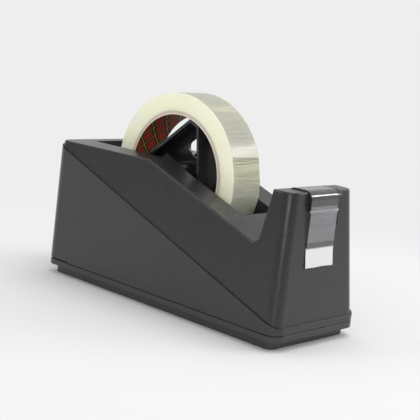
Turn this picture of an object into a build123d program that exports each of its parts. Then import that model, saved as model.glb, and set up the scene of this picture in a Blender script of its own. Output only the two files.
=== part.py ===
# A weighted bench tape dispenser: a hollow moulded housing on a stepped base, with a roll of clear
# film on a three-sided hub that spins on a drop-in spindle.
#
# Frame: millimetres, +Z up, origin on the bench under the middle of the base. +X points at the
# cutter end, -Y is the side that faces the user. The roll turns about a line along Y.

import math
import os

from build123d import *

os.makedirs("parts", exist_ok=True)

# Shares of a direction that sort edges and faces: nearly upright, and as good as flat
upright_share = 0.9
flat_share = 0.01

# Footprint and the step where the housing meets the base
length = 206.0
width = 78.0
corner_radius = 8.5
seam_height = 10.0
foot_height = 6.0
foot_inset_end = 5.5
foot_inset_side = 4.0
skirt_height = 4.0
seam_chamfer = 0.3
seam_gap = 0.5
seam_gap_depth = 1.2

# Housing outline, seen from the side
rim_height = 91.0
knee_x = -16.0
slope_angle = 19.5
tower_base = 25.0
notch_radius = 4.0
tower_drop = 0.6
tower_rear_lean = 7.0
front_lean = 4.3
rear_lean = 2.0
rim_edge_radius = 1.2

# Raised lower panel, cut off along a diagonal, and the tilt of the sides above it
panel_step = 1.2
panel_rear_drop = 2.4
panel_chamfer = 0.7
side_tilt = 6.6
wall = 2.6

# Roll well
well_width = 30.8
well_rear_rim = 9.5
well_front_reach = 64.6
well_end_lean = 3.0
well_corner_depth = 31.0
roll_gap_below = 5.0

# Roll, core and lining
roll_rear_reach = 87.8
axis_depth = 10.0
tape_width = 25.0
core_bore = 76.2
core_wall = 2.1
liner_thickness = 0.25
film_depth = 11.75
roll_edge = 0.25

# Hub
hub_apothem = 22.7
hub_wall = 1.8
hub_turn = 8.3
hub_clearance = 0.1
web_thickness = 2.0
web_hole_diameter = 12.6
web_hole_place = 19.5
web_hole_chamfer = 0.5
hub_boss_diameter = 17.0
bush_wall = 2.0
bush_length = 8.0
bush_flange = 0.3
running_clearance = 0.05

# Spindle: an axle with a plate at each end that drops into a pocket
axle_diameter = 8.0
plate_thickness = 1.9
plate_gap = 0.3
plate_behind = 10.0
plate_ahead = 17.0
plate_top = 9.2
plate_top_angle = 25.5
plate_corner_run = 4.7
plate_corner_angle = 37.0
plate_below = 15.0
pocket_clearance = 0.3
pocket_seat_gap = 0.2
pocket_rib = 3.5
pocket_rib_height = 13.0
pocket_ledge = 6.0
roll_side_gap = 0.4

# Slot between the pillars and the guide that fills it
slot_width = 29.0
slot_depth = 20.4
guide_lip = 2.4
guide_crown = 0.8
guide_nose_radius = 5.5
guide_nose_reach = 2.2
guide_nose_height = 9.9
guide_undercut = 1.5

# Toothed blade
blade_thickness = 0.6
blade_setback = 1.0
blade_inset = 0.75
blade_height = 6.0
tooth_pitch = 1.5
tooth_depth = 1.2
tooth_overhang = 2.4

# Loose end of the tape and its paper tab
film_thickness = 0.25
strip_drop = 32.9
tab_height = 11.6
tab_lap = 0.8
tab_thickness = 0.25
tab_gap = 0.2

# Base tray, ballast and pad
tray_floor = 3.2
tray_lift = 0.6
pocket_end_margin = 10.0
pocket_side_margin = 12.5
spigot_height = 2.0
spigot_clearance = 0.3
ballast_clearance = 0.5
slab_gap = 1.9
block_end_margin = 12.0
block_length = 35.0
block_side_margin = 3.5
block_height = 26.0
pad_side_margin = 14.0
pad_end_margin = 11.0
pad_thickness = 1.6

# Screws
screw_diameter = 3.0
screw_head_diameter = 5.6
screw_head_height = 2.2
screw_engagement = 12.0
screw_end_margin = 19.0
screw_side_margin = 8.0
screw_hole_clearance = 0.2
socket_width = 2.4
socket_depth = 1.2
boss_diameter = 9.0
boss_height = 20.0
guide_screw_y = 8.0

# Values worked out from the sizes above
half_length = length / 2
half_width = width / 2
skirt_top = seam_height + skirt_height
slope = math.tan(math.radians(slope_angle))
tilt = math.tan(math.radians(side_tilt))
upper_half = half_width - panel_step
core_radius = core_bore / 2
core_outer = core_radius + liner_thickness + core_wall
roll_radius = core_outer + film_depth
roll_x = roll_rear_reach - half_length
axis_height = rim_height - axis_depth
tower_height = rim_height - tower_drop
slot_floor = tower_height - slot_depth
guide_nose_bottom = tower_height - guide_nose_height
strip_end_height = tower_height - strip_drop
notch_x = half_length - tower_base
half_tape = tape_width / 2
half_well = well_width / 2
half_slot = slot_width / 2


def front_x(z):
    """The front face of the tower at height z."""
    return half_length - panel_step - math.tan(math.radians(front_lean)) * (z - seam_height)


def rear_x(z, inset=0.0):
    """The rear face at height z, which leans forward."""
    return inset - half_length + math.tan(math.radians(rear_lean)) * (z - seam_height)


def slope_z(x):
    """The sloping top between the knee and the notch."""
    return rim_height - slope * (x - knee_x)


notch_z = slope_z(notch_x)
tower_rear_x = notch_x + math.tan(math.radians(tower_rear_lean)) * (tower_height - notch_z)
diagonal_rear_z = rim_height - panel_rear_drop
diagonal_front_x = half_length - panel_step
diagonal_slope = (diagonal_rear_z - skirt_top) / (diagonal_front_x - rear_x(diagonal_rear_z))
well_rear_x = rear_x(rim_height, panel_step) + well_rear_rim
well_front_x = roll_x + well_front_reach
well_front_z = slope_z(well_front_x)
well_corner_height = rim_height - well_corner_depth
well_floor = axis_height - roll_radius - roll_gap_below

# Pocket of the tray, the ballast in it, the pad below it and the screws round it
pocket_length = length - 2 * pocket_end_margin
pocket_width = width - 2 * pocket_side_margin
pad_length = length - 2 * pad_end_margin
pad_width = width - 2 * pad_side_margin
slab_bottom = tray_lift + tray_floor
slab_top = well_floor - wall - slab_gap
block_x = half_length - block_end_margin - block_length / 2
screw_x = half_length - screw_end_margin
screw_y = half_width - screw_side_margin


def tilt_plane(side, inset=0.0):
    """The tilted side above the diagonal, hinged on the diagonal; its normal points inward."""
    return Plane(
        origin=(diagonal_front_x, side * (upper_half - inset), skirt_top),
        z_dir=(-tilt * diagonal_slope, -side, -tilt),
    )


def body_points():
    """The housing above the seam, seen from the side."""
    return [
        (rear_x(seam_height, panel_step), seam_height),
        (rear_x(rim_height, panel_step), rim_height),
        (knee_x, rim_height),
        (notch_x, notch_z),
        (tower_rear_x, tower_height),
        (front_x(tower_height), tower_height),
        (front_x(seam_height), seam_height),
    ]


# Side outlines, used again by the housing, its hollow and the pieces inside it
with BuildSketch(Plane.XZ) as body_outline:
    with BuildLine():
        Polyline(*body_points(), close=True)
    make_face()
    # Inside a sketch the outline is flat: its second coordinate is the height
    fillet(body_outline.vertices().sort_by_distance((notch_x, notch_z))[0], notch_radius)

with BuildSketch(Plane.XZ) as hollow_outline:
    with BuildLine():
        Polyline(*body_points(), close=True)
    make_face()
    offset(amount=-wall, kind=Kind.INTERSECTION)

well_lean = math.tan(math.radians(well_end_lean))
well_rear_corner_x = well_rear_x + well_lean * (rim_height - well_corner_height)
well_front_corner_x = well_front_x - well_lean * (well_front_z - well_corner_height)
above = 20.0

with BuildSketch(Plane.XZ) as well_outline:
    with BuildLine():
        rear_wall = Line(
            (well_rear_x - well_lean * above, rim_height + above),
            (well_rear_corner_x, well_corner_height),
        )
        ThreePointArc(
            rear_wall @ 1, (roll_x, well_floor), (well_front_corner_x, well_corner_height)
        )
        front_wall = Line(
            (well_front_corner_x, well_corner_height),
            (well_front_x + well_lean * above, well_front_z + above),
        )
        Polyline(front_wall @ 1, (well_front_x + well_lean * above, rim_height + above), rear_wall @ 0)
    make_face()

with BuildSketch(Plane.XZ) as tub_outline:
    add(well_outline.sketch_local)
    offset(amount=wall, kind=Kind.INTERSECTION)
    add(body_outline.sketch_local, mode=Mode.INTERSECT)

guide_rear_x = tower_rear_x + wall
nose_x = front_x(guide_nose_bottom) + guide_nose_reach
guide_top = tower_height + guide_crown

with BuildSketch(Plane.XZ) as guide_outline:
    with BuildLine():
        Polyline(
            (tower_rear_x, tower_height),
            (guide_rear_x, guide_top),
            (nose_x, guide_top),
            (nose_x, guide_nose_bottom),
            (front_x(guide_nose_bottom), guide_nose_bottom - guide_undercut),
            (front_x(slot_floor) - guide_undercut, slot_floor),
            (guide_rear_x, slot_floor),
            (guide_rear_x, tower_height - guide_lip),
            (tower_rear_x, tower_height - guide_lip),
            close=True,
        )
    make_face()
    fillet(guide_outline.vertices().sort_by_distance((nose_x, guide_top))[0], guide_nose_radius)

# The slot between the pillars and the box of walls round it
with BuildSketch(Plane.XZ) as slot_box:
    with BuildLine():
        Polyline(
            (tower_rear_x, slot_floor - wall),
            (front_x(slot_floor - wall), slot_floor - wall),
            (front_x(tower_height - wall), tower_height - wall),
            (tower_rear_x, tower_height - wall),
            close=True,
        )
    make_face()

with BuildSketch(Plane.XZ) as slot_outline:
    with BuildLine():
        Polyline(
            (tower_rear_x - wall, tower_height - guide_lip),
            (guide_rear_x, tower_height - guide_lip),
            (guide_rear_x, slot_floor),
            (length, slot_floor),
            (length, rim_height + above),
            (tower_rear_x - wall, rim_height + above),
            close=True,
        )
    make_face()

# Housing: the raised lower panel, cut off along the diagonal
with BuildPart() as panel:
    with BuildSketch(Plane.XZ):
        with BuildLine():
            Polyline(
                (rear_x(seam_height), seam_height),
                (rear_x(diagonal_rear_z), diagonal_rear_z),
                (diagonal_front_x + skirt_height / diagonal_slope, seam_height),
                close=True,
            )
        make_face()
    extrude(amount=half_width, both=True)
    rear_corners = panel.edges().filter_by(lambda e: abs(e.tangent_at(0.5).Z) > upright_share)
    fillet(rear_corners, corner_radius)
    diagonal_face = panel.faces().sort_by(Axis.Z)[-1]
    front_edge = diagonal_face.edges().sort_by(Axis.X)[-1]
    chamfer([edge for edge in diagonal_face.edges() if edge != front_edge], panel_chamfer)
    # The front end stays inside the rounded corners of the footprint
    with BuildSketch(Plane.XY.offset(seam_height)):
        with Locations((-length / 2, 0)):
            RectangleRounded(2 * length, width, corner_radius)
    extrude(amount=rim_height, mode=Mode.INTERSECT)

# The skirt that runs round the front, below the tower
with BuildPart() as skirt:
    skirt_rear_x = rear_x(seam_height) + 2 * corner_radius
    with BuildSketch(Plane.XY.offset(seam_height)):
        with Locations(((skirt_rear_x + half_length) / 2, 0)):
            RectangleRounded(half_length - skirt_rear_x, width, corner_radius)
    extrude(amount=skirt_height)
    chamfer(skirt.faces().sort_by(Axis.Z)[-1].edges(), panel_chamfer)

# The prism that the upper housing stays within, a step inside the panel
with BuildPart() as upper_limit:
    with BuildSketch(Plane.XZ):
        with BuildLine():
            Polyline(
                (rear_x(seam_height, panel_step), seam_height),
                (rear_x(rim_height, panel_step), rim_height),
                (length, rim_height),
                (length, seam_height),
                close=True,
            )
        make_face()
    extrude(amount=upper_half, both=True)
    rear_corners = upper_limit.edges().filter_by(
        lambda e: e.center().X < 0 and abs(e.tangent_at(0.5).Z) > upright_share
    )
    fillet(rear_corners, corner_radius - panel_step)

# The upper housing: one outline, its sides tilted inward above the diagonal
with BuildPart() as upper:
    extrude(body_outline.sketch, amount=width, both=True)
    split(bisect_by=tilt_plane(-1), keep=Keep.TOP)
    split(bisect_by=tilt_plane(1), keep=Keep.TOP)
    front_corners = upper.edges().filter_by(
        lambda e: e.center().X > tower_rear_x
        and abs(e.tangent_at(0.5).Z) > upright_share
        and e.length > skirt_top
    )
    fillet(front_corners, corner_radius - panel_step)
    add(upper_limit.part, mode=Mode.INTERSECT)
    # Every edge between the top surfaces and the faces around them is rounded
    top_surfaces = upper.faces().filter_by(
        lambda f: abs(f.normal_at().Y) < flat_share
        and (
            (f.center().Z > notch_z - 1 and f.normal_at().Z > 0.05)
            or (f.center().X > notch_x and f.normal_at().X < -0.5)
        )
        and abs(f.normal_at().X) < 1 - flat_share / 10
        and f.center().X < front_x(tower_height)
        and not f.normal_at().X > math.cos(math.radians(45))
    )
    boundary = [edge for face in top_surfaces for edge in face.edges()]
    outer = ShapeList(edge for edge in boundary if boundary.count(edge) == 1)
    fillet(outer, rim_edge_radius)

# The hollow of the housing, one wall inside it all round
with BuildPart() as hollow:
    extrude(hollow_outline.sketch, amount=upper_half - wall, both=True)
    split(bisect_by=tilt_plane(-1, wall), keep=Keep.TOP)
    split(bisect_by=tilt_plane(1, wall), keep=Keep.TOP)

pocket_rear_x = roll_x - plate_behind
pocket_front_x = roll_x + plate_ahead
plate_bottom = axis_height - plate_below
rib_width = half_well - half_tape - roll_side_gap
pocket_bottom = plate_bottom - pocket_seat_gap - pocket_ledge
boss_bottom = seam_height + spigot_height
guide_screw_x = (guide_rear_x + front_x(slot_floor)) / 2
guide_screw_places = [(guide_screw_x, -guide_screw_y), (guide_screw_x, guide_screw_y)]
screw_places = [(x, y) for x in (-screw_x, 0, screw_x) for y in (-screw_y, screw_y)]

with BuildPart() as shell:
    add(panel.part)
    add(skirt.part)
    add(upper.part)
    add(hollow.part, mode=Mode.SUBTRACT)
    # Open underside
    with BuildSketch(Plane.XY.offset(seam_height)):
        RectangleRounded(
            length - 2 * (panel_step + wall),
            width - 2 * (panel_step + wall),
            corner_radius - panel_step - wall,
        )
    extrude(amount=wall + spigot_height, mode=Mode.SUBTRACT)
    # The tub of the roll well and the box round the slot of the tower
    extrude(tub_outline.sketch, amount=half_well + wall, both=True)
    extrude(slot_box.sketch, amount=half_slot + wall, both=True)
    # Screw bosses against the side walls
    with BuildSketch(Plane.XY.offset(boss_bottom)):
        with Locations(*screw_places):
            Circle(boss_diameter / 2)
    extrude(amount=boss_height)
    extrude(well_outline.sketch, amount=half_well, both=True, mode=Mode.SUBTRACT)
    extrude(slot_outline.sketch, amount=half_slot, both=True, mode=Mode.SUBTRACT)
    # Pockets that the spindle plates drop into, one on each wall of the well
    for side in (-1, 1):
        with BuildSketch(Plane.XZ.offset(-side * (half_well - rib_width))):
            with Locations(((pocket_rear_x + pocket_front_x) / 2, pocket_bottom)):
                Rectangle(
                    pocket_front_x - pocket_rear_x + 2 * (pocket_clearance + pocket_rib),
                    pocket_ledge + pocket_rib_height,
                    align=(Align.CENTER, Align.MIN),
                )
            with Locations(((pocket_rear_x + pocket_front_x) / 2, plate_bottom - pocket_seat_gap)):
                Rectangle(
                    pocket_front_x - pocket_rear_x + 2 * pocket_clearance,
                    pocket_ledge + pocket_rib_height,
                    align=(Align.CENTER, Align.MIN),
                    mode=Mode.SUBTRACT,
                )
        extrude(amount=-side * (rib_width + wall / 2))
    # Pilot holes of the screws
    with BuildSketch(Plane.XY.offset(boss_bottom)):
        with Locations(*screw_places):
            Circle(screw_diameter / 2)
    extrude(amount=screw_engagement, mode=Mode.SUBTRACT)
    # Clearance holes of the guide's screws
    with BuildSketch(Plane.XY.offset(slot_floor - wall)):
        with Locations(*guide_screw_places):
            Circle(screw_diameter / 2 + screw_hole_clearance)
    extrude(amount=wall, mode=Mode.SUBTRACT)

shell.part.label = "shell"
export_step(shell.part, "parts/shell.step")

# Base tray: the band under the seam, the stepped foot, the spigot and the ballast pocket
spigot_inset = panel_step + wall + spigot_clearance
head_bottom = tray_lift + screw_hole_clearance
head_top = head_bottom + screw_head_height

with BuildPart() as base_tray:
    with BuildSketch(Plane.XY.offset(tray_lift)):
        RectangleRounded(
            length - 2 * foot_inset_end, width - 2 * foot_inset_side, corner_radius - foot_inset_side
        )
    extrude(amount=foot_height - tray_lift)
    with BuildSketch(Plane.XY.offset(foot_height)):
        RectangleRounded(length, width, corner_radius)
    extrude(amount=seam_height - seam_gap - foot_height)
    chamfer(base_tray.faces().sort_by(Axis.Z)[-1].edges(), seam_chamfer)
    # The housing rests on a rim inside the narrow groove of the seam
    with BuildSketch(Plane.XY.offset(seam_height - seam_gap)):
        RectangleRounded(
            length - 2 * seam_gap_depth, width - 2 * seam_gap_depth, corner_radius - seam_gap_depth
        )
    extrude(amount=seam_gap)
    with BuildSketch(Plane.XY.offset(seam_height)):
        RectangleRounded(length - 2 * spigot_inset, width - 2 * spigot_inset, corner_radius - spigot_inset)
    extrude(amount=spigot_height)
    with BuildSketch(Plane.XY.offset(slab_bottom)):
        Rectangle(pocket_length, pocket_width)
    extrude(amount=boss_bottom - slab_bottom, mode=Mode.SUBTRACT)
    with BuildSketch(Plane.XY.offset(tray_lift)):
        Rectangle(pad_length, pad_width)
    extrude(amount=pad_thickness - tray_lift, mode=Mode.SUBTRACT)
    with BuildSketch(Plane.XY.offset(tray_lift)):
        with Locations(*screw_places):
            Circle(screw_diameter / 2 + screw_hole_clearance)
    extrude(amount=boss_bottom - tray_lift, mode=Mode.SUBTRACT)
    with BuildSketch(Plane.XY.offset(tray_lift)):
        with Locations(*screw_places):
            Circle(screw_head_diameter / 2 + screw_hole_clearance)
    extrude(amount=head_top - tray_lift, mode=Mode.SUBTRACT)

base_tray.part.label = "base_tray"
export_step(base_tray.part, "parts/base_tray.step")

# Non-skid sheet in its recess under the tray
with BuildPart() as non_skid_pad:
    with BuildSketch():
        Rectangle(pad_length, pad_width)
    extrude(amount=pad_thickness)

non_skid_pad.part.label = "non_skid_pad"
export_step(non_skid_pad.part, "parts/non_skid_pad.step")

# Cast weights: a slab in the tray and a block under the tower
with BuildPart() as ballast_slab:
    with BuildSketch(Plane.XY.offset(slab_bottom)):
        Rectangle(pocket_length - 2 * ballast_clearance, pocket_width - 2 * ballast_clearance)
    extrude(amount=slab_top - slab_bottom)

ballast_slab.part.label = "ballast_slab"
export_step(ballast_slab.part, "parts/ballast_slab.step")

with BuildPart() as ballast_block:
    with BuildSketch(Plane.XY.offset(slab_top)):
        with Locations((block_x, 0)):
            Rectangle(block_length, pocket_width - 2 * block_side_margin)
    extrude(amount=block_height)

ballast_block.part.label = "ballast_block"
export_step(ballast_block.part, "parts/ballast_block.step")


def screws(places, bottom, grip):
    """Socket-head screws, head down, that grip from the top of the head upward."""
    with BuildPart() as part:
        with BuildSketch(Plane.XY.offset(bottom)):
            with Locations(*places):
                Circle(screw_head_diameter / 2)
        extrude(amount=screw_head_height)
        with BuildSketch(Plane.XY.offset(bottom + screw_head_height)):
            with Locations(*places):
                Circle(screw_diameter / 2)
        extrude(amount=grip)
        with BuildSketch(Plane.XY.offset(bottom)):
            with Locations(*places):
                RegularPolygon(socket_width / 2, 6, major_radius=False)
        extrude(amount=socket_depth, mode=Mode.SUBTRACT)
    return part.part


with BuildPart() as base_screws:
    add(screws(screw_places, head_bottom, boss_bottom - head_top + screw_engagement - screw_hole_clearance))

base_screws.part.label = "base_screws"
export_step(base_screws.part, "parts/base_screws.step")

# Tape guide between the pillars, with the slot of the blade and the pilot holes of its screws
blade_front_x = nose_x - blade_setback
blade_tip_z = guide_nose_bottom - tooth_overhang
blade_top_z = blade_tip_z + blade_height
half_blade = half_slot - blade_inset

with BuildPart() as tape_guide:
    extrude(guide_outline.sketch, amount=half_slot, both=True)
    with BuildSketch(Plane.XY.offset(slot_floor)):
        with Locations(*guide_screw_places):
            Circle(screw_diameter / 2)
    extrude(amount=screw_engagement / 2, mode=Mode.SUBTRACT)
    with BuildSketch(Plane.XY.offset(blade_tip_z)):
        with Locations((blade_front_x - blade_thickness / 2, 0)):
            Rectangle(blade_thickness, 2 * half_blade)
    extrude(amount=blade_height, mode=Mode.SUBTRACT)

tape_guide.part.label = "tape_guide"
export_step(tape_guide.part, "parts/tape_guide.step")

with BuildPart() as guide_screws:
    add(
        screws(
            guide_screw_places,
            slot_floor - wall - screw_head_height,
            wall + screw_engagement / 2 - screw_hole_clearance,
        )
    )

guide_screws.part.label = "guide_screws"
export_step(guide_screws.part, "parts/guide_screws.step")

# Toothed blade, teeth down, behind the hanging film
tooth_count = int(2 * half_blade / tooth_pitch)
with BuildPart() as cutter_blade:
    with BuildSketch(Plane.YZ.offset(blade_front_x - blade_thickness)):
        with BuildLine():
            first_y = -tooth_count * tooth_pitch / 2
            teeth = [
                point
                for i in range(tooth_count)
                for point in (
                    (first_y + i * tooth_pitch, blade_tip_z + tooth_depth),
                    (first_y + (i + 0.5) * tooth_pitch, blade_tip_z),
                )
            ]
            Polyline(
                (-half_blade, blade_top_z),
                (-half_blade, blade_tip_z + tooth_depth),
                *teeth,
                (-first_y, blade_tip_z + tooth_depth),
                (half_blade, blade_tip_z + tooth_depth),
                (half_blade, blade_top_z),
                close=True,
            )
        make_face()
    extrude(amount=blade_thickness)

cutter_blade.part.label = "cutter_blade"
export_step(cutter_blade.part, "parts/cutter_blade.step")

# Loose end of the film: laid over the guide, then hanging free in front of the blade
with BuildSketch(Plane.XZ) as strip_outline:
    with BuildLine():
        inner = FilletPolyline(
            (guide_rear_x, guide_top),
            (nose_x, guide_top),
            (nose_x, strip_end_height),
            radius=guide_nose_radius,
        )
        outer = FilletPolyline(
            (guide_rear_x, guide_top + film_thickness),
            (nose_x + film_thickness, guide_top + film_thickness),
            (nose_x + film_thickness, strip_end_height),
            radius=guide_nose_radius + film_thickness,
        )
        Line(inner @ 0, outer @ 0)
        Line(inner @ 1, outer @ 1)
    make_face()

with BuildPart() as tape_strip:
    extrude(strip_outline.sketch, amount=half_tape, both=True)

tape_strip.part.label = "tape_strip"
export_step(tape_strip.part, "parts/tape_strip.step")

# Paper tab on the sticky side of the end
tab_top = strip_end_height + tab_lap
tab_bottom = tab_top - tab_height
tab_back = [(front_x(z) + tab_gap, z) for z in (tab_bottom, tab_top)]
with BuildPart() as paper_tab:
    with BuildSketch(Plane.XZ):
        with BuildLine():
            Polyline(
                *tab_back,
                *[(x + tab_thickness, z) for x, z in reversed(tab_back)],
                close=True,
            )
        make_face()
    extrude(amount=half_tape, both=True)

paper_tab.part.label = "paper_tab"
export_step(paper_tab.part, "parts/paper_tab.step")

# Spindle: the axle and its two end plates
axis_plane = Plane(origin=(roll_x, 0, axis_height), x_dir=(1, 0, 0), z_dir=(0, -1, 0))
plate_outer_y = half_well - plate_gap

with BuildPart() as axle:
    with BuildSketch(axis_plane):
        Circle(axle_diameter / 2)
    extrude(amount=plate_outer_y, both=True)

axle.part.label = "axle"
export_step(axle.part, "parts/axle.step")


def plate_top_z(x):
    """The slanted top of a plate, measured from the axis."""
    angle = math.radians(plate_top_angle)
    return (plate_top - x * math.sin(angle)) / math.cos(angle)


corner_x = plate_corner_run - plate_behind
corner_z = plate_top_z(corner_x) - plate_corner_run * math.tan(math.radians(plate_corner_angle))
with BuildSketch(axis_plane) as plate_outline:
    with BuildLine():
        Polyline(
            (-plate_behind, -plate_below),
            (-plate_behind, corner_z),
            (corner_x, plate_top_z(corner_x)),
            (plate_ahead, plate_top_z(plate_ahead)),
            (plate_ahead, -plate_below),
            close=True,
        )
    make_face()
    Circle(axle_diameter / 2, mode=Mode.SUBTRACT)

with BuildPart() as spindle_plate_near:
    with BuildSketch(axis_plane.offset(plate_outer_y - plate_thickness)):
        add(plate_outline.sketch_local)
    extrude(amount=plate_thickness)

with BuildPart() as spindle_plate_far:
    with BuildSketch(axis_plane.offset(-plate_outer_y)):
        add(plate_outline.sketch_local)
    extrude(amount=plate_thickness)

spindle_plate_near.part.label = "spindle_plate_near"
export_step(spindle_plate_near.part, "parts/spindle_plate_near.step")
spindle_plate_far.part.label = "spindle_plate_far"
export_step(spindle_plate_far.part, "parts/spindle_plate_far.step")

# Three-sided hub: a thin frame, a web in the middle with a hole behind each corner, and a boss
bush_bore = axle_diameter / 2 + running_clearance
hub_bore = bush_bore + bush_wall
corner_angles = [60 + hub_turn + 120 * i for i in range(3)]

with BuildSketch(axis_plane) as hub_outline:
    Circle(core_radius - hub_clearance)
    RegularPolygon(hub_apothem, 3, major_radius=False, rotation=corner_angles[0], mode=Mode.INTERSECT)

with BuildSketch(axis_plane) as hub_inside:
    add(hub_outline.sketch_local)
    offset(amount=-hub_wall, kind=Kind.INTERSECTION)

with BuildPart() as hub:
    extrude(hub_outline.sketch, amount=half_tape, both=True)
    extrude(hub_inside.sketch, amount=half_tape, both=True, mode=Mode.SUBTRACT)
    extrude(hub_inside.sketch, amount=web_thickness / 2, both=True)
    with BuildSketch(axis_plane):
        for angle in corner_angles:
            with PolarLocations(web_hole_place, 1, start_angle=angle):
                Circle(web_hole_diameter / 2)
    extrude(amount=web_thickness, both=True, mode=Mode.SUBTRACT)
    chamfer(hub.edges().filter_by(GeomType.CIRCLE).filter_by(
        lambda e: abs(e.radius - web_hole_diameter / 2) < hub_clearance
    ), web_hole_chamfer)
    with BuildSketch(axis_plane):
        Circle(hub_boss_diameter / 2)
    extrude(amount=half_tape, both=True)
    with BuildSketch(axis_plane):
        Circle(hub_bore)
    extrude(amount=half_tape, both=True, mode=Mode.SUBTRACT)

hub.part.label = "hub"
export_step(hub.part, "parts/hub.step")


def bush(side):
    """A flanged plain bearing in one end of the hub's bore."""
    with BuildPart() as part:
        with BuildSketch(axis_plane.offset(side * (half_tape - bush_length))):
            Circle(hub_bore)
            Circle(bush_bore, mode=Mode.SUBTRACT)
        extrude(amount=side * bush_length)
        with BuildSketch(axis_plane.offset(side * half_tape)):
            Circle(hub_boss_diameter / 2)
            Circle(bush_bore, mode=Mode.SUBTRACT)
        extrude(amount=side * bush_flange)
    return part.part


for name, side in (("bush_near", 1), ("bush_far", -1)):
    bearing = bush(side)
    bearing.label = name
    export_step(bearing, f"parts/{name}.step")


def ring(inner, outer):
    """A plain ring as wide as the tape, round the axis."""
    with BuildPart() as part:
        with BuildSketch(axis_plane):
            Circle(outer)
            Circle(inner, mode=Mode.SUBTRACT)
        extrude(amount=half_tape, both=True)
    return part.part


with BuildPart() as core_liner:
    add(ring(core_radius, core_radius + liner_thickness))

core_liner.part.label = "core_liner"
export_step(core_liner.part, "parts/core_liner.step")

with BuildPart() as core:
    add(ring(core_radius + liner_thickness, core_outer))

core.part.label = "core"
export_step(core.part, "parts/core.step")

with BuildPart() as tape_roll:
    add(ring(core_outer, roll_radius))
    outer_edges = tape_roll.edges().filter_by(GeomType.CIRCLE).filter_by(
        lambda e: abs(e.radius - roll_radius) < roll_edge
    )
    chamfer(outer_edges, roll_edge)

tape_roll.part.label = "tape_roll"
export_step(tape_roll.part, "parts/tape_roll.step")
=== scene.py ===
# Bench tape dispenser: finishes for the moulded housing, the roll of clear film and its printed
# core, plus the pieces that need more shape than the solids have. Metres, same frame as the solids.
import math

import bpy
from mathutils import Matrix, Vector


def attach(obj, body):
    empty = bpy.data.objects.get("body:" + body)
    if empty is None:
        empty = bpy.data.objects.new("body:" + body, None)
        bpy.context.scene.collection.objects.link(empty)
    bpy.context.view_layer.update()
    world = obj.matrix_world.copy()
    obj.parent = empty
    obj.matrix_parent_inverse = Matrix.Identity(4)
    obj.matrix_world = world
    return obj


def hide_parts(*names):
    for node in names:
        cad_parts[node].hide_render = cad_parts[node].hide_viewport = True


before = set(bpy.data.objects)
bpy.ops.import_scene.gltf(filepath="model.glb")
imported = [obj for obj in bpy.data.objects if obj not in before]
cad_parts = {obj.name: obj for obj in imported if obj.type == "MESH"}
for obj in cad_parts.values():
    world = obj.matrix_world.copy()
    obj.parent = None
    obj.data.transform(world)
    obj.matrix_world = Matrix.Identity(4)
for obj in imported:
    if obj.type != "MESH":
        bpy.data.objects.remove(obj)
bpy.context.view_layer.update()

AXIS = Vector((-0.0152, 0.0, 0.081))
WORLD_LIGHT = 0.6


# Camera of the photograph
def set_camera():
    turn, rise, roll = math.radians(42.54), math.radians(10.16), math.radians(6.07)
    target, distance = Vector((0.00843, 0.0, 0.06184)), 0.6825
    back = Vector((
        math.sin(turn) * math.cos(rise),
        -math.cos(turn) * math.cos(rise),
        math.sin(rise),
    ))
    side = Vector((math.cos(turn), math.sin(turn), 0.0))
    up = back.cross(side)
    tilted_side = side * math.cos(roll) + up * math.sin(roll)
    tilted_up = up * math.cos(roll) - side * math.sin(roll)
    lens = bpy.data.cameras.new("photo_camera")
    lens.sensor_width = 36.0
    lens.lens = 92.2
    camera = bpy.data.objects.new("photo_camera", lens)
    bpy.context.scene.collection.objects.link(camera)
    camera.matrix_world = Matrix((
        (tilted_side.x, tilted_up.x, back.x, 0.0),
        (tilted_side.y, tilted_up.y, back.y, 0.0),
        (tilted_side.z, tilted_up.z, back.z, 0.0),
        (0.0, 0.0, 0.0, 1.0),
    ))
    camera.location = target + back * distance
    bpy.context.scene.camera = camera


set_camera()


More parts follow.
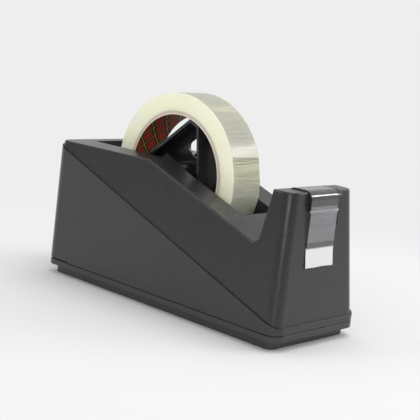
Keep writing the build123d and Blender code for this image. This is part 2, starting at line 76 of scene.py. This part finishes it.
# Node helpers
class Finish:
    """A material being put together: its nodes, and the shader that they feed."""

    def __init__(self, name):
        self.material = bpy.data.materials.new(name)
        self.material.use_nodes = True
        self.tree = self.material.node_tree
        self.shader = self.tree.nodes["Principled BSDF"]
        self.place = self.tree.nodes.new("ShaderNodeTexCoord").outputs["Object"]

    def node(self, kind, **settings):
        made = self.tree.nodes.new("ShaderNode" + kind)
        for name, value in settings.items():
            setattr(made, name, value)
        return made

    def link(self, source, target):
        self.tree.links.new(source, target)

    def set(self, **values):
        for name, value in values.items():
            socket = self.shader.inputs[name.replace("_", " ")]
            socket.default_value = value
        return self

    def moved(self, at=(0, 0, 0), turn=(0, 0, 0), stretch=(1, 1, 1)):
        """Object coordinates centred on a place of the piece, turned and stretched."""
        shift = self.node("VectorMath", operation="SUBTRACT")
        self.link(self.place, shift.inputs[0])
        shift.inputs[1].default_value = at
        mapping = self.node("Mapping")
        mapping.inputs["Rotation"].default_value = turn
        mapping.inputs["Scale"].default_value = stretch
        self.link(shift.outputs[0], mapping.inputs["Vector"])
        return mapping.outputs["Vector"]

    def noise(self, scale, detail=2.0, rough=0.5, place=None, distortion=0.0):
        made = self.node("TexNoise")
        made.inputs["Scale"].default_value = scale
        made.inputs["Detail"].default_value = detail
        made.inputs["Roughness"].default_value = rough
        made.inputs["Distortion"].default_value = distortion
        self.link(place or self.place, made.inputs["Vector"])
        return made.outputs["Fac"]

    def cells(self, scale, place=None, feature="F1"):
        made = self.node("TexVoronoi", feature=feature)
        made.inputs["Scale"].default_value = scale
        self.link(place or self.place, made.inputs["Vector"])
        return made.outputs["Distance"]

    def math(self, operation, first, second=0.0, third=0.0, clamp=False):
        made = self.node("Math", operation=operation, use_clamp=clamp)
        for socket, value in zip(made.inputs, (first, second, third)):
            if isinstance(value, (int, float)):
                socket.default_value = value
            else:
                self.link(value, socket)
        return made.outputs[0]

    def spread(self, value, low, high, start=0.0, end=1.0, smooth=False):
        """Maps low..high of a value to start..end."""
        made = self.node("MapRange", interpolation_type="SMOOTHSTEP" if smooth else "LINEAR")
        for name, number in (("From Min", low), ("From Max", high), ("To Min", start), ("To Max", end)):
            made.inputs[name].default_value = number
        self.link(value, made.inputs["Value"])
        return made.outputs["Result"]

    def blend(self, share, first, second, mode="MIX"):
        """A colour between two colours, or their product, by a share."""
        made = self.node("Mix", data_type="RGBA", blend_type=mode)
        for socket, value in ((made.inputs[0], share), (made.inputs[6], first), (made.inputs[7], second)):
            if isinstance(value, (int, float)):
                socket.default_value = value
            elif isinstance(value, tuple):
                socket.default_value = (*value, 1.0) if len(value) == 3 else value
            else:
                self.link(value, socket)
        return made.outputs[2]

    def axes(self, place=None):
        made = self.node("SeparateXYZ")
        self.link(place or self.place, made.inputs[0])
        return made.outputs

    def colour(self, source):
        self.link(source, self.shader.inputs["Base Color"])
        return self

    def roughness(self, source):
        self.link(source, self.shader.inputs["Roughness"])
        return self

    def bump(self, height, strength, depth):
        """Adds a layer of relief over the ones before it; depth in metres."""
        made = self.node("Bump")
        made.inputs["Strength"].default_value = strength
        made.inputs["Distance"].default_value = depth
        self.link(height, made.inputs["Height"])
        normal = self.shader.inputs["Normal"]
        if normal.is_linked:
            self.link(normal.links[0].from_socket, made.inputs["Normal"])
        self.link(made.outputs["Normal"], normal)
        return self


def moulded_plastic(name, dark, light, rough=0.5, grain=0.00004):
    """Charcoal moulding with the fine etched grain of its tool and a few faint handling marks."""
    made = Finish(name)
    speck = made.noise(1500.0, 2.0, 0.6)
    cloudy = made.noise(14.0, 2.0, 0.5)
    tone = made.blend(made.spread(speck, 0.3, 0.7), dark, light)
    tone = made.blend(made.spread(cloudy, 0.35, 0.7, 0.0, 0.3), tone, dark)
    # Dust caught by the grain, a few light specks
    dust = made.cells(210.0)
    made.colour(made.blend(made.spread(dust, 0.035, 0.06, 0.35, 0.0), tone, tuple(c * 3.0 for c in light)))
    made.roughness(made.spread(made.noise(30.0, 3.0, 0.55), 0.3, 0.7, rough - 0.03, rough + 0.04))
    made.bump(made.cells(1900.0), 0.6, grain)
    made.bump(made.noise(1100.0, 2.0), 0.4, grain)
    return made.material


def ground_steel(name, tone=(0.56, 0.57, 0.58), stretch=(60.0, 900.0, 900.0), rough=0.3):
    made = Finish(name).set(Metallic=1.0)
    lines = made.noise(1.0, 3.0, 0.7, made.moved(stretch=stretch))
    made.colour(made.blend(made.spread(lines, 0.3, 0.7), tuple(c * 0.82 for c in tone), tone))
    made.roughness(made.spread(lines, 0.3, 0.7, rough - 0.08, rough + 0.1))
    made.bump(lines, 0.2, 0.00002)
    return made.material


def cast_metal(name):
    made = Finish(name).set(Metallic=0.3)
    rust = made.noise(70.0, 5.0, 0.7)
    made.colour(made.blend(made.spread(rust, 0.45, 0.7), (0.12, 0.12, 0.125), (0.2, 0.16, 0.13)))
    made.roughness(made.spread(rust, 0.3, 0.7, 0.6, 0.85))
    made.bump(made.noise(500.0, 4.0, 0.7), 0.6, 0.0002)
    return made.material


def sheet_rubber(name):
    made = Finish(name)
    dust = made.noise(120.0, 5.0, 0.7)
    made.colour(made.blend(made.spread(dust, 0.5, 0.8), (0.018, 0.018, 0.018), (0.06, 0.058, 0.055)))
    made.roughness(made.spread(dust, 0.3, 0.7, 0.78, 0.92))
    made.bump(made.cells(700.0), 0.6, 0.00015)
    return made.material


def black_plastic(name, tone=(0.012, 0.012, 0.0135), rough=0.3):
    """Smooth black moulding with faint flow marks, dust and fine scratches."""
    made = Finish(name)
    flow = made.noise(55.0, 3.0, 0.6)
    dust = made.cells(620.0)
    clean = made.blend(made.spread(flow, 0.35, 0.7), tone, tuple(c * 1.8 for c in tone))
    made.colour(made.blend(made.spread(dust, 0.03, 0.1, 0.25, 0.0), clean, (0.12, 0.12, 0.12)))
    made.roughness(made.spread(made.noise(90.0, 5.0, 0.65), 0.25, 0.75, rough - 0.07, rough + 0.12))
    made.bump(made.noise(130.0, 3.0), 0.2, 0.00008)
    return made.material


def wear_resin(name):
    made = Finish(name)
    soft = made.noise(200.0, 3.0)
    made.colour(made.blend(made.spread(soft, 0.3, 0.7), (0.62, 0.61, 0.56), (0.75, 0.74, 0.7)))
    made.roughness(made.spread(soft, 0.3, 0.7, 0.35, 0.5))
    made.bump(soft, 0.2, 0.00003)
    return made.material


def wound_card(name):
    """Grey card of the core, its plies seen as rings on the cut ends."""
    made = Finish(name)
    middle = made.moved(tuple(AXIS))
    x, y, z = made.axes(middle)[:3]
    radius = made.math("SQRT", made.math("ADD", made.math("MULTIPLY", x, x), made.math("MULTIPLY", z, z)))
    plies = made.node("TexWave", wave_type="RINGS", rings_direction="Y")
    plies.inputs["Scale"].default_value = 520.0
    plies.inputs["Distortion"].default_value = 1.2
    plies.inputs["Detail"].default_value = 3.0
    made.link(middle, plies.inputs["Vector"])
    fibre = made.noise(900.0, 4.0, 0.7)
    tone = made.blend(made.spread(plies.outputs["Fac"], 0.2, 0.9), (0.50, 0.43, 0.34), (0.62, 0.55, 0.45))
    inner = made.spread(radius, 0.0386, 0.0391, 1.0, 0.0, smooth=True)
    tone = made.blend(inner, tone, (0.80, 0.78, 0.68))
    made.colour(made.blend(made.spread(fibre, 0.3, 0.75, 0.0, 0.3), tone, (0.70, 0.64, 0.55)))
    made.set(Roughness=0.85)
    made.bump(fibre, 0.5, 0.00008)
    return made.material


def lozenge_print(name):
    """Printed lining: dark red lozenges on green-black, crossed by thin ochre lines."""
    made = Finish(name)
    middle = made.moved(tuple(AXIS))
    x, y, z = made.axes(middle)[:3]
    turn = made.math("ARCTAN2", z, x)
    # 17 repeats round the bore, close to 14 mm each, and one repeat in 12.5 mm across
    u = made.math("MULTIPLY", turn, 17.0 / (2.0 * math.pi))
    v = made.math("DIVIDE", y, 0.0125)
    first = made.math("PINGPONG", made.math("ADD", u, v), 0.5)
    second = made.math("PINGPONG", made.math("SUBTRACT", u, v), 0.5)
    paper = made.noise(1500.0, 2.0)
    edge = made.math("MINIMUM", first, second)
    red = made.spread(edge, 0.155, 0.17)
    shade = made.spread(made.math("MAXIMUM", first, second), 0.30, 0.31)
    body = made.blend(shade, (0.30, 0.020, 0.014), (0.40, 0.028, 0.02))
    band = made.blend(made.spread(edge, 0.085, 0.095), (0.006, 0.007, 0.006), (0.012, 0.028, 0.013))
    tone = made.blend(red, band, body)
    fine = made.spread(made.math("ABSOLUTE", made.math("SUBTRACT", edge, 0.33)), 0.010, 0.018, 0.8, 0.0)
    tone = made.blend(fine, tone, (0.012, 0.012, 0.010))
    ochre = made.spread(edge, 0.022, 0.032, 0.9, 0.0)
    tone = made.blend(ochre, tone, (0.50, 0.38, 0.05))
    made.colour(made.blend(made.spread(paper, 0.4, 0.8, 0.0, 0.15), tone, (0.25, 0.2, 0.16)))
    made.set(Roughness=0.55, Specular_IOR_Level=0.3)
    made.bump(paper, 0.2, 0.00003)
    return made.material


def wound_film(name):
    """Clear film in many turns: pale yellow depth, fine rings on its cut sides, gloss on its last turn."""
    made = Finish(name)
    middle = made.moved(tuple(AXIS))
    x, y, z = made.axes(middle)[:3]
    radius = made.math("SQRT", made.math("ADD", made.math("MULTIPLY", x, x), made.math("MULTIPLY", z, z)))
    # Turns of film on the cut sides
    rings = made.noise(1.0, 4.0, 0.65, made.ring_place(radius, 9000.0))
    bands = made.noise(1.0, 2.0, 0.5, made.ring_place(radius, 900.0))
    cloudy = made.noise(60.0, 3.0, 0.6, middle)
    inner = made.spread(radius, 0.0405, 0.0522)
    tone = made.blend(inner, (0.96, 0.955, 0.66), (0.975, 0.97, 0.74))
    tone = made.blend(made.spread(bands, 0.3, 0.7, 0.0, 0.22), tone, (0.975, 0.97, 0.82))
    tone = made.blend(made.spread(cloudy, 0.4, 0.75, 0.0, 0.25), tone, (0.93, 0.92, 0.60))
    made.colour(tone)
    made.set(Roughness=0.22, IOR=1.49, Subsurface_Weight=0.75, Subsurface_Scale=0.0035)
    made.shader.inputs["Subsurface Radius"].default_value = (1.0, 0.95, 0.6)
    made.bump(rings, 0.25, 0.00005)
    made.bump(made.noise(140.0, 3.0, 0.5, middle), 0.2, 0.00015)
    return made.material


def ring_place(self, radius, scale):
    """A place that changes only with the radius, for patterns of rings."""
    joined = self.node("CombineXYZ")
    self.link(self.math("MULTIPLY", radius, scale), joined.inputs[0])
    return joined.outputs[0]


Finish.ring_place = ring_place


def clear_film(name, haze, clearness):
    """One layer of film: clear, glossy, with fine draw lines and the haze of its adhesive."""
    made = Finish(name)
    streaks = made.noise(1.0, 3.0, 0.6, made.moved(stretch=(200.0, 1100.0, 90.0)))
    speck = made.cells(260.0)
    made.set(IOR=1.49, Transmission_Weight=clearness)
    tone = made.blend(made.spread(streaks, 0.3, 0.7), haze, tuple(c * 0.93 for c in haze))
    made.colour(made.blend(made.spread(speck, 0.03, 0.09, 0.5, 0.0), tone, (0.95, 0.95, 0.95)))
    made.roughness(made.spread(streaks, 0.3, 0.7, 0.05, 0.12))
    made.bump(streaks, 0.12, 0.00002)
    return made.material


def tab_paper(name):
    made = Finish(name)
    fibre = made.noise(1400.0, 4.0, 0.7)
    made.colour(made.blend(made.spread(fibre, 0.3, 0.7), (0.72, 0.72, 0.72), (0.78, 0.78, 0.78)))
    made.set(Roughness=0.7)
    made.bump(fibre, 0.3, 0.00003)
    return made.material


finishes = {
    "shell": moulded_plastic("charcoal_housing", (0.022, 0.022, 0.0245), (0.034, 0.034, 0.037), rough=0.27),
    "base_tray": moulded_plastic("charcoal_tray", (0.030, 0.029, 0.030), (0.040, 0.039, 0.040), rough=0.32),
    "non_skid_pad": sheet_rubber("pad_rubber"),
    "ballast_slab": cast_metal("ballast_casting"),
    "base_screws": ground_steel("screw_steel", (0.5, 0.5, 0.49), (700.0, 700.0, 90.0), 0.32),
    "tape_guide": moulded_plastic("guide_moulding", (0.016, 0.016, 0.017), (0.022, 0.022, 0.024), rough=0.34),
    "cutter_blade": ground_steel("blade_steel", (0.62, 0.62, 0.63), (900.0, 60.0, 900.0), 0.22),
    "tape_strip": clear_film("film_layer", (0.80, 0.81, 0.83), 0.86),
    "paper_tab": tab_paper("tab_paper"),
    "axle": ground_steel("axle_steel", (0.55, 0.56, 0.57), (900.0, 40.0, 900.0), 0.26),
    "spindle_plate_near": black_plastic("plate_moulding", (0.014, 0.014, 0.015), 0.3),
    "hub": black_plastic("hub_moulding", (0.012, 0.012, 0.0135), 0.2),
    "bush_near": wear_resin("bush_resin"),
    "core": wound_card("wound_card"),
    "core_liner": lozenge_print("lozenge_print"),
    "tape_roll": wound_film("wound_film"),
}
same = {
    "ballast_block": "ballast_slab",
    "guide_screws": "base_screws",
    "spindle_plate_far": "spindle_plate_near",
    "bush_far": "bush_near",
}
for node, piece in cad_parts.items():
    material = finishes[same.get(node, node)]
    piece.data.materials.clear()
    piece.data.materials.append(material)


# Shaping helpers
def only(piece):
    """Makes a piece the one that the operators act on."""
    bpy.ops.object.select_all(action="DESELECT")
    piece.select_set(True)
    bpy.context.view_layer.objects.active = piece
    return piece


def pick(piece, kind, wanted):
    """In edit mode: selects only the vertices, edges or faces for which wanted(item) is true."""
    bpy.ops.mesh.select_mode(type=kind)
    bpy.ops.mesh.select_all(action="DESELECT")
    bpy.ops.object.mode_set(mode="OBJECT")
    items = {"VERT": piece.data.vertices, "EDGE": piece.data.edges, "FACE": piece.data.polygons}[kind]
    for item in items:
        item.select = wanted(item)
    bpy.ops.object.mode_set(mode="EDIT")


def settle(piece, name, material):
    """Names a piece, puts its place into its mesh and gives it its finish."""
    only(piece)
    bpy.ops.object.transform_apply(location=True, rotation=True, scale=True)
    piece.name = piece.data.name = name
    piece.data.materials.clear()
    piece.data.materials.append(material)
    return piece


# The roll: wound film with the flats that handling pressed into its last turns
ROLL_RADIUS, CORE_OUTER, HALF_TAPE = 0.0522, 0.04045, 0.0125


def make_ring(inner, outer, half_width, steps):
    """A closed ring round the roll's axis, spun from a flat profile."""
    bpy.ops.object.select_all(action="DESELECT")
    bpy.ops.mesh.primitive_plane_add(size=1.0, location=AXIS + Vector(((inner + outer) / 2, 0.0, 0.0)))
    ring = bpy.context.object
    ring.scale = (outer - inner, 2 * half_width, 1.0)
    bpy.ops.object.transform_apply(location=True, rotation=True, scale=True)
    bpy.ops.object.mode_set(mode="EDIT")
    bpy.ops.mesh.select_all(action="SELECT")
    bpy.ops.mesh.delete(type="ONLY_FACE")
    bpy.ops.mesh.select_all(action="SELECT")
    bpy.ops.mesh.spin(steps=steps, angle=math.radians(360.0), center=AXIS, axis=(0.0, 1.0, 0.0))
    bpy.ops.mesh.select_all(action="SELECT")
    bpy.ops.mesh.remove_doubles(threshold=1e-6)
    bpy.ops.mesh.normals_make_consistent(inside=False)
    return ring


def make_roll():
    roll = make_ring(CORE_OUTER, ROLL_RADIUS, HALF_TAPE, 360)
    bpy.ops.object.mode_set(mode="OBJECT")
    # Flats, each the outer turns pressed in to a chord
    flats = (
        (24.3, 3.3), (12.6, 8.2), (-0.8, 5.0), (61.0, 3.4), (152.0, 3.8), (228.0, 4.5), (305.0, 3.6)
    )
    for angle, half_angle in flats:
        a, depth = math.radians(angle), ROLL_RADIUS * math.cos(math.radians(half_angle))
        out = Vector((math.cos(a), 0.0, math.sin(a)))
        for vertex in roll.data.vertices:
            beyond = (vertex.co - AXIS).dot(out) - depth
            if beyond > 0.0:
                vertex.co -= out * beyond
    bpy.ops.object.mode_set(mode="EDIT")
    # A small rounding where the layers end
    pick(roll, "EDGE", lambda edge: all(
        abs(abs(roll.data.vertices[i].co.y) - HALF_TAPE) < 1e-5
        and (roll.data.vertices[i].co - AXIS).xz.length > 0.0505
        for i in edge.vertices
    ))
    bpy.ops.mesh.bevel(offset=0.0007, segments=3, profile=0.6)
    bpy.ops.object.mode_set(mode="OBJECT")
    bpy.ops.object.shade_smooth_by_angle(angle=math.radians(2.2))
    return settle(roll, "wound_roll", finishes["tape_roll"])


wound_roll = make_roll()
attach(wound_roll, "roll")
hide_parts("tape_roll")


# The loose end of the film: over the guide, off the nose and down to its paper tab
STRIP_SHIFT = -0.0016


def front_face(z):
    """The front of the tower at height z."""
    return 0.1018 - math.tan(math.radians(4.3)) * (z - 0.010)


def strip_path():
    """Points of the film's middle, seen from the side, each with the way that faces out."""
    top, nose, radius, gap = 0.0912, 0.0987, 0.0055, 0.00006
    points = [((0.0850 + i * (nose - radius - 0.0850) / 8, top + gap), (0.0, 1.0)) for i in range(9)]
    for i in range(1, 17):
        a = math.radians(90.0 - i * 90.0 / 16)
        out = (math.cos(a), math.sin(a))
        points.append(((nose - radius + out[0] * (radius + gap), top - radius + out[1] * (radius + gap)), out))
    for i in range(1, 7):
        points.append(((nose + gap, top - radius - i * 0.0034 / 6), (1.0, 0.0)))
    # Free of the nose: a slow bulge, one faint crease, and crumpled just above the tab
    free_top, free_end = top - radius - 0.0034, 0.0580
    for i in range(1, 53):
        share = i / 52
        z = free_top + (free_end - free_top) * share
        bulge = 0.00022 * math.sin(math.pi * min(1.0, share * 1.6)) * (1.0 - 0.4 * share)
        crease = 0.00012 * math.exp(-(((z - 0.0768) / 0.0005) ** 2))
        lean = (front_face(free_end) + 0.00062 - nose - gap) * share ** 2
        points.append(((nose + gap + bulge + crease + lean, z), (1.0, 0.0)))
    return points


def make_strip():
    points = strip_path()
    columns = 34
    bpy.ops.object.select_all(action="DESELECT")
    bpy.ops.mesh.primitive_grid_add(x_subdivisions=columns, y_subdivisions=len(points) - 1, size=1.0)
    strip = bpy.context.object
    rattle = [math.sin(k * 12.9898) * 43758.5453 % 1.0 - 0.5 for k in range(4000)]
    for vertex in strip.data.vertices:
        column = round((vertex.co.x + 0.5) * columns)
        row = round((0.5 - vertex.co.y) * (len(points) - 1))
        (x, z), out = points[row]
        y = STRIP_SHIFT + (column / columns - 0.5) * 2 * HALF_TAPE
        if row == len(points) - 1:
            z += 0.00035 if column % 2 else -0.00045
        if 0.0578 < z < 0.0612:
            x += 0.0003 * rattle[column * 60 + row] * min(1.0, (0.0612 - z) / 0.0008)
        vertex.co = (x, y, z)
    bpy.ops.object.mode_set(mode="EDIT")
    bpy.ops.mesh.select_all(action="SELECT")
    bpy.ops.mesh.normals_make_consistent(inside=False)
    bpy.ops.object.mode_set(mode="OBJECT")
    wall = strip.modifiers.new("film", "SOLIDIFY")
    wall.thickness = 0.00005
    wall.offset = 0.0
    bpy.ops.object.modifier_apply(modifier="film")
    bpy.ops.object.shade_smooth_by_angle(angle=math.radians(25.0))
    settle(strip, "film_end", finishes["tape_strip"])
    # The film that lies on the guide is clearer than the part that hangs free. The crumpled part just above
    # the tab gets a darker haze, which is painted shade.
    strip.data.materials.append(clear_film("film_on_guide", (0.62, 0.62, 0.64), 0.95))
    # Darker copy of the film for the crumpled band: painted shade
    strip.data.materials.append(clear_film("film_crumpled_painted_shade", (0.42, 0.42, 0.43), 0.80))
    for face in strip.data.polygons:
        if face.center.z > 0.0825:
            face.material_index = 1
        elif face.center.z < 0.0611:
            face.material_index = 2
    return strip


film_end = make_strip()
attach(film_end, "housing")
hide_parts("tape_strip")


def make_tab():
    """The paper tab, a little curled away from the tower at its lower corners."""
    bpy.ops.object.select_all(action="DESELECT")
    bpy.ops.mesh.primitive_grid_add(x_subdivisions=20, y_subdivisions=12, size=1.0)
    tab = bpy.context.object
    for vertex in tab.data.vertices:
        across, down = vertex.co.x, 0.5 - vertex.co.y
        z = 0.0583 - 0.0116 * down + 0.0001 * math.sin(across * 9.0)
        y = STRIP_SHIFT + across * 0.0256
        curl = 0.00035 * down ** 2 * (abs(across) * 2) ** 3 + 0.00012 * down
        vertex.co = (front_face(z) + 0.00034 + curl, y, z)
    bpy.ops.object.mode_set(mode="EDIT")
    bpy.ops.mesh.select_all(action="SELECT")
    bpy.ops.mesh.normals_make_consistent(inside=False)
    bpy.ops.object.mode_set(mode="OBJECT")
    wall = tab.modifiers.new("paper", "SOLIDIFY")
    wall.thickness = 0.00012
    wall.offset = 0.0
    bpy.ops.object.modifier_apply(modifier="paper")
    bpy.ops.object.shade_smooth_by_angle(angle=math.radians(40.0))
    return settle(tab, "white_tab", finishes["paper_tab"])


white_tab = make_tab()
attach(white_tab, "housing")
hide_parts("paper_tab")


# Floor, backdrop and light
def set_stage():
    bpy.ops.object.select_all(action="DESELECT")
    bpy.ops.mesh.primitive_plane_add(size=8.0, location=(0.0, 0.0, 0.0))
    floor = bpy.context.object
    floor.name = "studio_floor"
    made = Finish("studio_floor")
    grain = made.noise(3.0, 2.0)
    made.colour(made.blend(grain, (0.855, 0.855, 0.855), (0.86, 0.86, 0.86)))
    made.set(Roughness=0.9, Specular_IOR_Level=0.0)
    rays = made.node("LightPath")
    glow = made.node("Emission")
    glow.inputs["Color"].default_value = (0.855, 0.855, 0.855, 1.0)
    seen = made.math("MAXIMUM", rays.outputs["Is Camera Ray"], rays.outputs["Is Glossy Ray"])
    seen = made.math("MAXIMUM", seen, rays.outputs["Is Transmission Ray"])
    far = made.node("VectorMath", operation="LENGTH")
    made.link(made.place, far.inputs[0])
    share = made.math("MULTIPLY", seen, made.spread(far.outputs["Value"], 0.16, 0.42, 0.0, 1.0, smooth=True))
    joined = made.node("MixShader")
    made.link(share, joined.inputs[0])
    made.link(made.shader.outputs[0], joined.inputs[1])
    made.link(glow.outputs[0], joined.inputs[2])
    made.link(joined.outputs[0], made.tree.nodes["Material Output"].inputs[0])
    floor.data.materials.append(made.material)

    # Backdrop behind the object for the camera and for reflections, a dim room on the other sides
    world = bpy.data.worlds.new("studio")
    bpy.context.scene.world = world
    world.use_nodes = True
    nodes, links = world.node_tree.nodes, world.node_tree.links
    light = nodes["Background"]
    light.inputs["Color"].default_value = (1.0, 1.0, 1.0, 1.0)
    light.inputs["Strength"].default_value = WORLD_LIGHT
    shown = nodes.new("ShaderNodeBackground")
    shown.inputs["Color"].default_value = (0.855, 0.855, 0.855, 1.0)
    mirrored = nodes.new("ShaderNodeBackground")
    way = nodes.new("ShaderNodeTexCoord")
    facing = nodes.new("ShaderNodeVectorMath")
    facing.operation = "DOT_PRODUCT"
    facing.inputs[1].default_value = (-0.676, 0.737, 0.0)
    links.new(way.outputs["Generated"], facing.inputs[0])
    share = nodes.new("ShaderNodeMapRange")
    share.interpolation_type = "SMOOTHSTEP"
    for name, value in (("From Min", 0.06), ("From Max", 0.36), ("To Min", 0.12), ("To Max", 0.855)):
        share.inputs[name].default_value = value
    links.new(facing.outputs["Value"], share.inputs["Value"])
    links.new(share.outputs["Result"], mirrored.inputs["Strength"])
    paths = nodes.new("ShaderNodeLightPath")
    first = nodes.new("ShaderNodeMixShader")
    links.new(paths.outputs["Is Glossy Ray"], first.inputs[0])
    links.new(light.outputs[0], first.inputs[1])
    links.new(mirrored.outputs[0], first.inputs[2])
    seen = nodes.new("ShaderNodeMath")
    seen.operation = "MAXIMUM"
    links.new(paths.outputs["Is Camera Ray"], seen.inputs[0])
    links.new(paths.outputs["Is Transmission Ray"], seen.inputs[1])
    second = nodes.new("ShaderNodeMixShader")
    links.new(seen.outputs[0], second.inputs[0])
    links.new(first.outputs[0], second.inputs[1])
    links.new(shown.outputs[0], second.inputs[2])
    links.new(second.outputs[0], nodes["World Output"].inputs[0])


def add_lamp(name, turn, rise, distance, width, height, power, colour=(1.0, 1.0, 1.0)):
    """A soft box that looks at the object from a turn and a rise in degrees."""
    lamp = bpy.data.lights.new(name, "AREA")
    lamp.shape = "RECTANGLE"
    lamp.size, lamp.size_y = width, height
    lamp.energy = power
    lamp.color = colour
    piece = bpy.data.objects.new(name, lamp)
    bpy.context.scene.collection.objects.link(piece)
    a, e = math.radians(turn), math.radians(rise)
    back = Vector((math.sin(a) * math.cos(e), -math.cos(a) * math.cos(e), math.sin(e)))
    piece.location = Vector((0.0, 0.0, 0.06)) + back * distance
    piece.rotation_mode = "QUATERNION"
    piece.rotation_quaternion = back.to_track_quat("Z", "Y")


set_stage()
add_lamp("overhead_box", 150.0, 78.0, 1.3, 1.0, 1.0, 6.5)
add_lamp("front_box", 46.0, 15.0, 1.5, 0.5, 0.3, 4.5)
add_lamp("left_box", -30.0, 24.0, 1.5, 0.5, 0.4, 3.0)
add_lamp("rim_box", 140.0, 27.0, 1.2, 0.6, 0.16, 3.0)

bpy.context.scene.view_settings.view_transform = "Standard"
